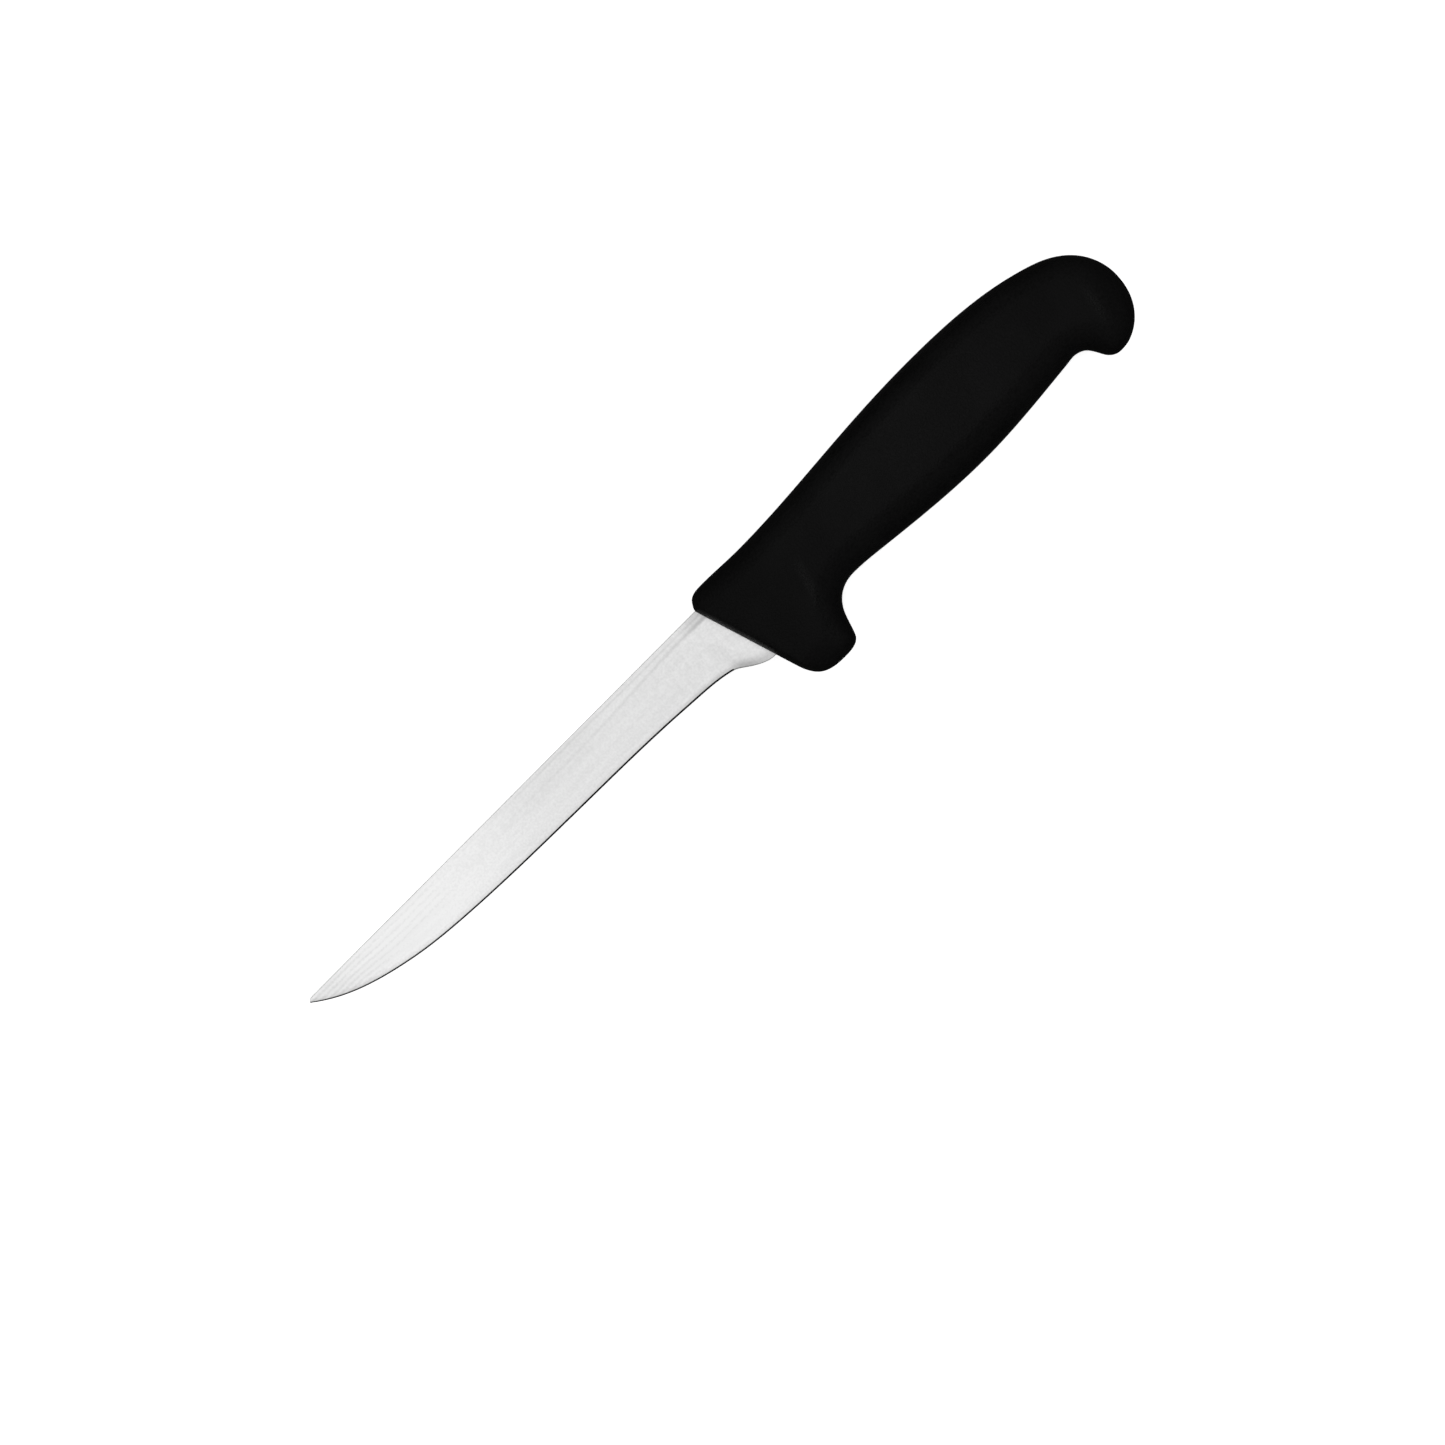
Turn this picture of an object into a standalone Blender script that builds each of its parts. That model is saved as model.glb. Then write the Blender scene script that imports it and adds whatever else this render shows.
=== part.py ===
"""A boning knife lying on its side: a stamped blade with a hidden tang, a handle core and a moulded grip.

Design frame: x runs from the tip to the pommel and is 0 where the blade's spine meets the handle, y is 0
on the spine line and negative towards the cutting edge, and z is 0 in the middle of the blade's thickness.
All lengths are in metres and all headings are in degrees.
"""

import math

import bmesh
import bpy
import numpy as np
from mathutils import Vector
from mathutils.geometry import delaunay_2d_cdt

MM = 0.001
GAP = 0.3 * MM  # between pieces that touch

# Blade, seen square-on
BLADE_LENGTH = 150.0 * MM
BLADE_WIDTH = 16.0 * MM  # about the middle of the blade
HEEL_DEPTH = 24.1 * MM  # below the spine line, where the heel runs into the handle
HEEL_LENGTH = 5.5 * MM  # from the end of the sharp edge to the spine's meeting with the handle
HEEL_BLEND = 4.0 * MM  # in front of the heel, where the ground sides start to run out
BELLY_LENGTH = 50.0 * MM  # the part of the edge that curves up to the tip
TIP_WIDTH = 1.0 * MM

# Blade, through its thickness
BLADE_THICKNESS = 2.0 * MM  # near the handle, once ground and polished
TIP_THICKNESS = 0.9 * MM
POINT_LENGTH = 12.0 * MM  # the stretch that thins to the point
POINT_SHARE = 0.45  # of the thickness, left at the point
PARALLEL_LENGTH = 28.0 * MM  # in front of the handle, before the blade starts to taper
POLISH_END = 3.5 * MM  # in front of the handle, where the polish runs out
STOCK_START = 1.0 * MM  # in front of the handle, where the stock keeps its full thickness
SPINE_CHAMFER = 0.25 * MM
FLAT_WIDTH = 3.2 * MM  # the band along the spine that stays unground
BEVEL_WIDTH = 0.5 * MM
BEVEL_THICKNESS = 0.34 * MM
EDGE_THICKNESS = 0.06 * MM
HEEL_CHAMFER = 0.05 * MM  # on either side of the unground heel

# Blade, where it is narrow or thin: the most that each feature takes
CHAMFER_SHARE = 0.3  # of half the thickness
FLAT_SHARE = 0.35  # of the width
BEVEL_SHARE = 0.2  # of the width
BEVEL_HALF_SHARE = 0.6  # of half the thickness

# Tang, inside the handle
STOCK_THICKNESS = 2.1 * MM  # the steel as it was stamped
TANG_LENGTH = 98.0 * MM
TANG_TOP = 4.0 * MM  # below the spine line
TANG_WIDTH = 13.0 * MM
TANG_END_WIDTH = 9.0 * MM
TANG_SHOULDER = 11.0 * MM  # where the full width of the heel ends inside the handle
SHOULDER_BLEND = 2.0 * MM  # on either side of the shoulder
TANG_HOLES = (26.0 * MM, 52.0 * MM, 78.0 * MM)
TANG_HOLE_RADIUS = 3.0 * MM

# Handle, seen square-on; depths are below the spine line
HANDLE_LENGTH = 146.65 * MM
FRONT_RAKE = 17.0  # the front face leans back from square
BACK_HEIGHT = 6.92 * MM  # the hump of the spine side, above the spine line
NECK_HEIGHT = 3.53 * MM  # the spine side just behind the front
GUARD_DEPTH = 37.9 * MM
GUARD_BACK = 26.6 * MM  # the rear face of the guard
WAIST_DEPTH = 23.3 * MM  # the finger side just behind the guard
WAIST_X = 38.2 * MM
BELLY_DEPTH = 26.9 * MM  # the swell in the middle of the finger side
NOTCH_DEPTH = 24.4 * MM  # the finger side just in front of the hook
BEAK_DEPTH = 32.35 * MM
POMMEL_LENGTH = 23.0 * MM  # from the notch to the end

# Handle, through its thickness
HANDLE_THICKNESS = 21.0 * MM
FRONT_THINNING = 7.4 * MM  # how much thinner the handle is at its front face
FRONT_LENGTH = 24.0 * MM  # the stretch over which it reaches the full thickness
NECK_THINNING = 2.0 * MM  # how much thinner it is at the neck behind the guard
NECK_BACK = 4.0 * MM  # from the waist back to where the neck is thinnest
POMMEL_THINNING = 1.4 * MM
SWELL_LENGTH = 30.0 * MM  # the flat stretch of full thickness in the middle of the barrel
FRONT_ROUND = 1.5 * MM  # the rounding of the front face's edges
SPINE_ROUND = 7.4 * MM  # how far the rounding reaches in from the outline on the spine side
FINGER_ROUND = 8.6 * MM
SPINE_FULLNESS = 2.0  # 2 is an ellipse; smaller makes a crisper shoulder at the flat side
FINGER_FULLNESS = 1.45

# Core, a bar that the grip is moulded over
CORE_FRONT = 13.0 * MM
POMMEL_WALL = 18.5 * MM  # behind the core
GRIP_WALL = 5.0 * MM  # above and below the core, in y
GRIP_SIDE_WALL = 3.6 * MM  # beside the core, in z
CORE_CORNER = 3.0 * MM

# Fineness of the meshes
OUTLINE_STEP = 3.4 * MM
FINE_STEP = 0.25 * MM  # for measuring distances to the outline
EDGE_STEP = 0.5 * MM
ROUND_STEPS = 6
PANEL_STEP = 4.0 * MM
PANEL_ROOM = 0.5 * MM  # between the rounding and the panel's grid
RING_ROOM = 0.93  # of a ring's depth, which its points keep from every side
CORE_RINGS = 14
CORE_REACH = 1.5 * MM  # of the outline that a ring of the core follows, each way


def clear_scene():
    for obj in list(bpy.data.objects):
        bpy.data.objects.remove(obj, do_unlink=True)


def make_material(name, color, metallic, roughness):
    material = bpy.data.materials.new(name)
    material.use_nodes = True
    shader = material.node_tree.nodes["Principled BSDF"]
    shader.inputs["Base Color"].default_value = (*color, 1.0)
    shader.inputs["Metallic"].default_value = metallic
    shader.inputs["Roughness"].default_value = roughness
    return material


def make_object(name, mesh, parent=None, material=None):
    obj = bpy.data.objects.new(name, mesh)
    bpy.context.scene.collection.objects.link(obj)
    obj.parent = parent
    if material:
        mesh.materials.append(material)
        mesh.shade_smooth()
        mesh.set_sharp_from_angle(angle=math.radians(35))
    return obj


def make_cutter(name, mesh, parent):
    cutter = make_object(name, mesh, parent)
    cutter.hide_render = True
    cutter.display_type = "WIRE"
    return cutter


def cut(obj, cutter):
    boolean = obj.modifiers.new("cut_" + cutter.name, "BOOLEAN")
    boolean.operation = "DIFFERENCE"
    boolean.object = cutter


def mesh_from(name, vertices, faces):
    mesh = bpy.data.meshes.new(name)
    mesh.from_pydata([tuple(map(float, vertex)) for vertex in vertices], [], faces)
    build = bmesh.new()
    build.from_mesh(mesh)
    bmesh.ops.recalc_face_normals(build, faces=build.faces)
    build.to_mesh(mesh)
    build.free()
    return mesh


def loft(name, rings):
    """A closed solid through rings that all have the same number of points."""
    count = len(rings[0])
    vertices = [point for ring in rings for point in ring]
    faces = [tuple(range(count)), tuple(range(len(vertices) - count, len(vertices)))]
    for start in range(0, len(vertices) - count, count):
        for i in range(count):
            j = (i + 1) % count
            faces.append((start + i, start + j, start + count + j, start + count + i))
    return mesh_from(name, vertices, faces)


def ease(value, start, end):
    """0 before start, 1 after end, and a smooth step between them."""
    t = np.clip((value - start) / (end - start), 0.0, 1.0)
    return t * t * (3.0 - 2.0 * t)


def curve_through(knots, step):
    """Points along a smooth curve through knots of (x, y, heading), without the last knot.

    Between two knots runs the cubic that comes closest to a circular arc.
    """
    points = []
    for (x0, y0, heading0), (x1, y1, heading1) in zip(knots, knots[1:]):
        start = np.array((x0, y0))
        end = np.array((x1, y1))
        chord = np.linalg.norm(end - start)
        turn = abs(math.radians((heading1 - heading0 + 180.0) % 360.0 - 180.0))
        reach = chord / 3.0
        if turn > 0.001:
            reach = chord * 2.0 / 3.0 * math.tan(turn / 4.0) / math.sin(turn / 2.0)
        leave = start + reach * direction(heading0)
        arrive = end - reach * direction(heading1)
        count = max(2, round(chord / step))
        for t in np.arange(count) / count:
            s = 1.0 - t
            points.append(s**3 * start + 3 * s * s * t * leave + 3 * s * t * t * arrive + t**3 * end)
    return np.array(points)


def direction(heading):
    return np.array((math.cos(math.radians(heading)), math.sin(math.radians(heading))))


# ---------------------------------------------------------------- blade


def edge_line():
    """(x, y) along the cutting edge and the heel, from the tip to inside the handle."""
    tip = -BLADE_LENGTH
    heel = -HEEL_LENGTH
    knots = [
        (tip, -TIP_WIDTH, -38.0),
        (tip + 0.17 * BELLY_LENGTH, -0.39 * BLADE_WIDTH, -25.5),
        (tip + 0.55 * BELLY_LENGTH, -0.755 * BLADE_WIDTH, -11.5),
        (tip + BELLY_LENGTH, -0.915 * BLADE_WIDTH, -3.6),
        (0.41 * tip, -0.99 * BLADE_WIDTH, -1.0),
        (heel - 14.5 * MM, -1.07 * BLADE_WIDTH, -4.0),
        (heel, -1.16 * BLADE_WIDTH, -12.0),
        (heel + 2.9 * MM, -1.22 * BLADE_WIDTH, -32.0),
        (heel + 6.7 * MM, -HEEL_DEPTH + 2.05 * MM, -31.0),
        (heel + 12.7 * MM, -HEEL_DEPTH, 0.0),
    ]
    return curve_through(knots, EDGE_STEP)


def past_shoulder(x):
    """0 in the blade and the heel, 1 in the tang."""
    return ease(x, TANG_SHOULDER - SHOULDER_BLEND, TANG_SHOULDER + SHOULDER_BLEND)


def blade_bottom(x, line):
    """The lower edge of the steel at x: the cutting edge, the heel, and then the tang."""
    tang_bottom = -TANG_TOP - TANG_WIDTH
    end_bottom = -TANG_TOP - (TANG_WIDTH + TANG_END_WIDTH) / 2.0
    tang = tang_bottom + (end_bottom - tang_bottom) * ease(x, TANG_SHOULDER, TANG_LENGTH)
    inside = past_shoulder(x)
    return np.interp(x, line[:, 0], line[:, 1]) * (1.0 - inside) + tang * inside


def blade_top(x):
    """The upper edge of the steel at x: the straight spine, and then the tang."""
    drop = TANG_TOP * past_shoulder(x)
    drop += (TANG_WIDTH - TANG_END_WIDTH) / 2.0 * ease(x, TANG_SHOULDER, TANG_LENGTH)
    tip_rounding = 0.6 * TIP_WIDTH * ease(-x, BLADE_LENGTH - TIP_WIDTH, BLADE_LENGTH)
    return -drop - tip_rounding


def steel_thickness(x):
    """Thickness along the spine: the tapering blade, its parallel stretch, and the stock of the tang."""
    behind_tip = min((x + BLADE_LENGTH) / (BLADE_LENGTH - PARALLEL_LENGTH), 1.0)
    taper = TIP_THICKNESS + (BLADE_THICKNESS - TIP_THICKNESS) * behind_tip
    point = POINT_SHARE + (1.0 - POINT_SHARE) * ease(x, -BLADE_LENGTH, -BLADE_LENGTH + POINT_LENGTH)
    unpolished = (STOCK_THICKNESS - BLADE_THICKNESS) * ease(x, -POLISH_END, -STOCK_START)
    return taper * point + unpolished


def blade_section(x, line, room):
    """One ring round the steel at x. The room is added all round it, for what is cut to take the steel."""
    top = blade_top(x) + room
    bottom = blade_bottom(x, line) - room
    width = top - bottom
    half = steel_thickness(x) / 2.0
    ground = 1.0 - ease(x, -HEEL_LENGTH - HEEL_BLEND, HEEL_LENGTH)
    chamfer = min(SPINE_CHAMFER, CHAMFER_SHARE * half)
    flat = top - min(FLAT_WIDTH, FLAT_SHARE * width)
    bevel = bottom + min(BEVEL_WIDTH, BEVEL_SHARE * width)
    flat = flat * ground + (bevel + 2.0 * BEVEL_WIDTH) * (1.0 - ground)
    bevel_half = min(BEVEL_THICKNESS / 2.0, BEVEL_HALF_SHARE * half) * ground
    bevel_half += (half - HEEL_CHAMFER) * (1.0 - ground)
    edge_half = EDGE_THICKNESS / 2.0 * ground + (half - SPINE_CHAMFER) * (1.0 - ground)
    side = [
        (top, half - chamfer + room),
        (top - chamfer, half + room),
        (flat, half + room),
        (bevel, bevel_half + room),
        (bottom, edge_half + room),
    ]
    ring = [(x, y, z) for y, z in side]
    return ring + [(x, y, -z) for y, z in reversed(side)]


def blade_stations(start):
    """Places along the steel: close together at the tip and at the heel, where it changes fast."""
    tip = -BLADE_LENGTH
    spans = (
        (tip, tip + 2.0 * MM, 0.5 * MM),
        (tip + 2.0 * MM, tip + BELLY_LENGTH, 3.0 * MM),
        (tip + BELLY_LENGTH, -PARALLEL_LENGTH, 12.0 * MM),
        (-PARALLEL_LENGTH, -HEEL_LENGTH - HEEL_BLEND, 9.0 * MM),
        (-HEEL_LENGTH - HEEL_BLEND, -POLISH_END, 1.2 * MM),
        (-POLISH_END, TANG_SHOULDER - SHOULDER_BLEND, 1.2 * MM),
        (TANG_SHOULDER - SHOULDER_BLEND, TANG_SHOULDER + SHOULDER_BLEND, 0.8 * MM),
        (TANG_SHOULDER + SHOULDER_BLEND, TANG_LENGTH, 12.0 * MM),
    )
    stations = []
    for low, high, step in spans:
        stations.extend(np.linspace(low, high, max(1, round((high - low) / step)), endpoint=False))
    return [x for x in stations if x >= start] + [TANG_LENGTH]


def steel_mesh(name, start, room):
    line = edge_line()
    rings = [blade_section(x, line, room) for x in blade_stations(start)]
    rings.append([(x + room, y, z) for x, y, z in rings[-1]])
    return loft(name, rings if room else rings[:-1])


def hole_cutter(name, x, radius, parent):
    """A round bar through the tang, on the middle of its width."""
    line = edge_line()
    bar = bmesh.new()
    bmesh.ops.create_cone(
        bar,
        cap_ends=True,
        segments=24,
        radius1=radius,
        radius2=radius,
        depth=4.0 * STOCK_THICKNESS,
    )
    mesh = bpy.data.meshes.new(name)
    bar.to_mesh(mesh)
    bar.free()
    cutter = make_cutter(name, mesh, parent)
    cutter.location = (x, (blade_top(x) + blade_bottom(x, line)) / 2.0, 0.0)
    return cutter


def make_blade(parent):
    steel = make_material("blade_steel", (0.78, 0.79, 0.80), 1.0, 0.28)
    blade = make_object("blade", steel_mesh("blade", -BLADE_LENGTH, 0.0), parent, steel)
    for number, x in enumerate(TANG_HOLES, 1):
        cut(blade, hole_cutter(f"tang_hole_{number}", x, TANG_HOLE_RADIUS, parent))
    return blade


def make_steel_room(parent):
    """The space that the steel takes up inside the handle, with its holes left open for the pegs."""
    room = make_cutter("steel_room", steel_mesh("steel_room", -HEEL_LENGTH, GAP), parent)
    for number, x in enumerate(TANG_HOLES, 1):
        cut(room, hole_cutter(f"peg_{number}", x, TANG_HOLE_RADIUS - GAP, parent))
    return room


# ---------------------------------------------------------------- handle


def handle_knots():
    """Knots round the handle: down the front, round the guard, past the fingers and over the pommel."""
    rake = math.tan(math.radians(FRONT_RAKE))
    down_front = -90.0 + FRONT_RAKE
    front_end = GUARD_DEPTH - 8.9 * MM
    notch = HANDLE_LENGTH - POMMEL_LENGTH
    barrel = notch - WAIST_X
    end = HANDLE_LENGTH
    knots = [
        (3.2 * MM * rake, -3.2 * MM, down_front),
        (front_end * rake, -front_end, down_front),
        (GUARD_BACK - 14.0 * MM, -GUARD_DEPTH + 1.9 * MM, -39.0),
        (GUARD_BACK - 6.0 * MM, -GUARD_DEPTH, 0.0),
        (GUARD_BACK, -GUARD_DEPTH + 2.4 * MM, 68.0),
        (GUARD_BACK + 2.1 * MM, -WAIST_DEPTH - 6.2 * MM, 68.0),
        (WAIST_X - 6.6 * MM, -WAIST_DEPTH - 2.2 * MM, 40.0),
        (WAIST_X, -WAIST_DEPTH, 0.0),
        (WAIST_X + 0.1 * barrel, -WAIST_DEPTH - 0.6 * MM, -6.5),
        (WAIST_X + 0.56 * barrel, -BELLY_DEPTH, 0.0),
        (notch - 4.3 * MM, -NOTCH_DEPTH - 0.2 * MM, 5.5),
        (notch, -NOTCH_DEPTH, -14.0),
        (end - 20.1 * MM, -NOTCH_DEPTH - 1.6 * MM, -50.0),
        (end - 17.6 * MM, -BEAK_DEPTH + 2.2 * MM, -58.0),
        (end - 13.7 * MM, -BEAK_DEPTH, 0.0),
        (end - 9.6 * MM, -BEAK_DEPTH + 0.65 * MM, 21.0),
        (end - 3.0 * MM, -BEAK_DEPTH + 5.85 * MM, 54.5),
        (end, -0.5 * BEAK_DEPTH, 90.0),
        (end - 4.3 * MM, BACK_HEIGHT - 11.9 * MM, 131.0),
        (end - 14.3 * MM, BACK_HEIGHT - 5.5 * MM, 161.0),
        (WAIST_X + 0.585 * barrel, BACK_HEIGHT, 180.0),
        (WAIST_X + 0.235 * barrel, (NECK_HEIGHT + 1.6 * BACK_HEIGHT) / 2.6, 184.2),
        (20.3 * MM, NECK_HEIGHT, 180.0),
        (5.6 * MM, NECK_HEIGHT + 0.4 * MM, 181.0),
        (1.15 * MM, NECK_HEIGHT - 1.3 * MM, 238.0),
        (0.12 * MM, -0.2 * MM, down_front - 12.0),
    ]
    return knots + knots[:1]


def behind_front(points):
    """Distance from the straight line of the front face, positive inside the handle."""
    into_handle = direction(FRONT_RAKE)
    return points @ into_handle


def distance_to(outline, points):
    """Distance from each point to the outline's nearest corner, and which one that is."""
    apart = np.linalg.norm(points[:, None, :] - outline[None, :, :], axis=2)
    return apart.min(1), apart.argmin(1)


def side_distance(outline, points):
    """Distance to the outline without its front face, rounded off where two sides are equally near.

    It sums 1 / distance**5 along the outline, which a straight side alone turns into its distance**-4.
    """
    power = 4.0
    straight = math.sqrt(math.pi) * math.gamma(power / 2.0) / math.gamma((power + 1.0) / 2.0)
    ahead = np.roll(outline, -1, axis=0)
    sides = np.linalg.norm(ahead - outline, axis=1)
    middles = (ahead + outline) / 2.0
    counted = sides * ease(behind_front(middles), 0.2 * MM, 2.5 * MM)
    apart = np.linalg.norm(points[:, None, :] - middles[None, :, :], axis=2)
    return ((counted / apart ** (power + 1.0)).sum(1) / straight) ** (-1.0 / power)


def toward_fingers(points):
    """0 on the spine side of the handle, 1 on the finger side."""
    middle = WAIST_DEPTH / 2.0
    return ease(-points[:, 1], middle - 5.0 * MM, middle + 5.0 * MM)


def barrel_thinning(x):
    """How much thinner the handle is at x than at its swell: at the neck, and towards the pommel."""
    notch = HANDLE_LENGTH - POMMEL_LENGTH
    neck = WAIST_X + NECK_BACK
    swell_start = (WAIST_X + notch - SWELL_LENGTH) / 2.0
    to_neck = ease(x, GUARD_BACK, neck) - ease(x, neck, swell_start)
    return NECK_THINNING * to_neck + POMMEL_THINNING * ease(x, swell_start + SWELL_LENGTH, notch)


def side_height(outline, points):
    """How far the handle's side stands out from the middle plane at each point."""
    from_front = behind_front(points)
    slope = 1.0 - np.clip(from_front / FRONT_LENGTH, 0.0, 1.0)
    half = (HANDLE_THICKNESS - FRONT_THINNING * slope * slope - barrel_thinning(points[:, 0])) / 2.0
    fingers = toward_fingers(points)
    reach = SPINE_ROUND + (FINGER_ROUND - SPINE_ROUND) * fingers
    fullness = SPINE_FULLNESS + (FINGER_FULLNESS - SPINE_FULLNESS) * fingers
    from_side = np.clip(side_distance(outline, points) / reach, 0.0, 1.0)
    from_face = np.clip(from_front / FRONT_ROUND, 0.0, 1.0)
    side_curve = np.sqrt(1.0 - (1.0 - from_side) ** fullness)
    return half * side_curve * np.sqrt(1.0 - (1.0 - from_face) ** 2)


def rounding_reach(outline):
    """How far in from each point of the outline the handle is still rounded."""
    side = SPINE_ROUND + (FINGER_ROUND - SPINE_ROUND) * toward_fingers(outline)
    return FRONT_ROUND + (side - FRONT_ROUND) * ease(behind_front(outline), 0.2 * MM, 6.0 * MM)


def inward_rings(outline, reach):
    """Points on lines that run along the outline, closer together near it, as a rounding needs."""
    along = np.roll(outline, -1, axis=0) - np.roll(outline, 1, axis=0)
    along /= np.linalg.norm(along, axis=1)[:, None]
    inward = np.column_stack((-along[:, 1], along[:, 0]))
    rings = []
    for step in range(1, ROUND_STEPS + 1):
        depth = reach * (1.0 - math.cos(math.pi / 2.0 * step / (ROUND_STEPS + 0.5)))
        ring = outline + depth[:, None] * inward
        rings.append(ring[distance_to(outline, ring)[0] > RING_ROOM * depth])
    return rings


def panel_points(outline, reach):
    """A plain grid inside the last ring."""
    low = outline.min(0)
    high = outline.max(0)
    xs = np.arange(low[0], high[0], PANEL_STEP)
    ys = np.arange(low[1], high[1], PANEL_STEP)
    grid = np.array([(x, y) for x in xs for y in ys])
    away, nearest = distance_to(outline, grid)
    return grid[winding(outline, grid) & (away > 1.1 * reach[nearest] + PANEL_ROOM)]


def winding(outline, points):
    """True for each point inside the outline."""
    start = outline[None, :, :] - points[:, None, :]
    end = np.roll(start, -1, axis=1)
    cross = start[:, :, 0] * end[:, :, 1] - start[:, :, 1] * end[:, :, 0]
    turned = np.arctan2(cross, (start * end).sum(2)).sum(1)
    return np.abs(turned) > math.pi


def grip_mesh():
    """The outer form of the handle: two mirrored sides that meet on the outline at z = 0."""
    knots = handle_knots()
    outline = curve_through(knots, OUTLINE_STEP)
    reach = rounding_reach(outline)
    inside = np.concatenate(inward_rings(outline, reach) + [panel_points(outline, reach)])
    count = len(outline)
    flat = [Vector(point) for point in np.concatenate((outline, inside))]
    placed, _, triangles, _, _, _ = delaunay_2d_cdt(flat, [], [list(range(count))], 1, 1e-7)
    points = np.array([tuple(point) for point in placed])
    height = side_height(curve_through(knots, FINE_STEP), points[count:])
    lower = len(points)
    vertices = [(x, y, 0.0) for x, y in points[:count]]
    vertices += [(x, y, z) for (x, y), z in zip(points[count:], height)]
    vertices += [(x, y, -z) for (x, y), z in zip(points[count:], height)]
    faces = [tuple(face) for face in triangles]
    for face in triangles:
        mirrored = [i if i < count else i - count + lower for i in face]
        faces.append(tuple(reversed(mirrored)))
    return mesh_from("handle_grip", vertices, faces)


def core_mesh(name, room):
    """A bar with rounded corners that follows the spine side and the finger side of the grip."""
    outline = curve_through(handle_knots(), EDGE_STEP)
    rings = []
    for x in np.linspace(CORE_FRONT - room, HANDLE_LENGTH - POMMEL_WALL + room, CORE_RINGS):
        half = (HANDLE_THICKNESS - barrel_thinning(x)) / 2.0 - GRIP_SIDE_WALL + room
        near = outline[np.abs(outline[:, 0] - x) < CORE_REACH]
        top = near[:, 1].max() - GRIP_WALL + room
        bottom = max(near[:, 1].min(), -BELLY_DEPTH) + GRIP_WALL - room
        rings.append(rounded_ring(x, bottom, top, half, CORE_CORNER))
    return loft(name, rings)


def rounded_ring(x, bottom, top, half, corner):
    ring = []
    centres = (
        (top - corner, half - corner, 0.0),
        (bottom + corner, half - corner, 90.0),
        (bottom + corner, corner - half, 180.0),
        (top - corner, corner - half, 270.0),
    )
    for y, z, start in centres:
        for turn in (0.0, 30.0, 60.0, 90.0):
            toward = direction(start + turn)
            ring.append((x, y + corner * toward[0], z + corner * toward[1]))
    return ring


def make_core(parent, steel_room):
    plastic = make_material("core_plastic", (0.06, 0.06, 0.065), 0.0, 0.45)
    core = make_object("handle_core", core_mesh("handle_core", 0.0), parent, plastic)
    cut(core, steel_room)
    return core


def make_grip(parent, steel_room):
    moulded = make_material("grip_plastic", (0.014, 0.014, 0.015), 0.0, 0.62)
    grip = make_object("handle_grip", grip_mesh(), parent, moulded)
    cut(grip, make_cutter("core_room", core_mesh("core_room", GAP), parent))
    cut(grip, steel_room)
    return grip


def main():
    clear_scene()
    knife = bpy.data.objects.new("knife", None)
    bpy.context.scene.collection.objects.link(knife)
    middle_x = (HANDLE_LENGTH - BLADE_LENGTH) / 2.0
    middle_y = (BACK_HEIGHT - GUARD_DEPTH) / 2.0
    knife.location = (-middle_x, -middle_y, HANDLE_THICKNESS / 2.0)
    steel_room = make_steel_room(knife)
    make_blade(knife)
    make_core(knife, steel_room)
    make_grip(knife, steel_room)


main()
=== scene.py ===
"""The looks of a boning knife: a satin ground blade and a black pebbled moulded grip, on a pale floor.

Shapes are worked out in the knife's design frame: x is 0 where the blade's spine meets the handle, y is 0
on the spine line, and z is 0 in the middle of the blade's thickness. Each piece's object stands at ORIGIN,
where the CAD has that point, so its mesh and its Object coordinates are in the design frame.
Lengths are in metres and headings in degrees.
"""

import math
from collections import Counter

import bmesh
import bpy
import numpy as np
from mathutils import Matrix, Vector
from mathutils.geometry import delaunay_2d_cdt


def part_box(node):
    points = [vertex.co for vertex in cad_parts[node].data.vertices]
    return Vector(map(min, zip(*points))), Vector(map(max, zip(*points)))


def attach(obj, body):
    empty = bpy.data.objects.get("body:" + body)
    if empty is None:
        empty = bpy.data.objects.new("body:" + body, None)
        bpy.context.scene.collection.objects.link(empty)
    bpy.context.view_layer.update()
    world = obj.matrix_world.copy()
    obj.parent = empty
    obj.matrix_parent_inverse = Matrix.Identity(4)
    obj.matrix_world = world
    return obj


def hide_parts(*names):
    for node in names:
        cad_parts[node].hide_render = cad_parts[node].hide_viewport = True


MM = 0.001
BODY = "root"

# Camera: square-on, turned about its line of sight
VIEW_TURN = 45.145
VIEW_WIDTH = 395.2 * MM  # of the frame, at the blade
VIEW_CENTRE = (-14.5 * MM, -11.3 * MM)
LENS = 120.0  # in millimetres, as the camera takes it
SENSOR = 36.0

# Studio: a step is (start, end, value at the start, value at the end)
FLOOR_SIZE = 6.0
BACKDROP_RADIUS = 2.8
LIGHT_PLACE = (-0.06, 0.0, 1.8)
LIGHT_SIZE = 1.5
LIGHT_POWER = 9.75
WALLS_BY_HEIGHT = (-0.1, 0.1, 0.05, 0.55)
CEILING_BY_HEIGHT = (0.7, 0.9, 0.0, -0.25)

# Handle, seen square-on; depths are below the spine line
HANDLE_LENGTH = 146.65 * MM
FRONT_RAKE = 17.0
BACK_HEIGHT = 6.92 * MM
NECK_HEIGHT = 3.53 * MM
GUARD_DEPTH = 37.9 * MM
GUARD_BACK = 26.6 * MM
WAIST_DEPTH = 23.3 * MM
WAIST_X = 38.2 * MM
BELLY_DEPTH = 26.9 * MM
NOTCH_DEPTH = 24.4 * MM
BEAK_DEPTH = 32.35 * MM
POMMEL_LENGTH = 23.0 * MM

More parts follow.
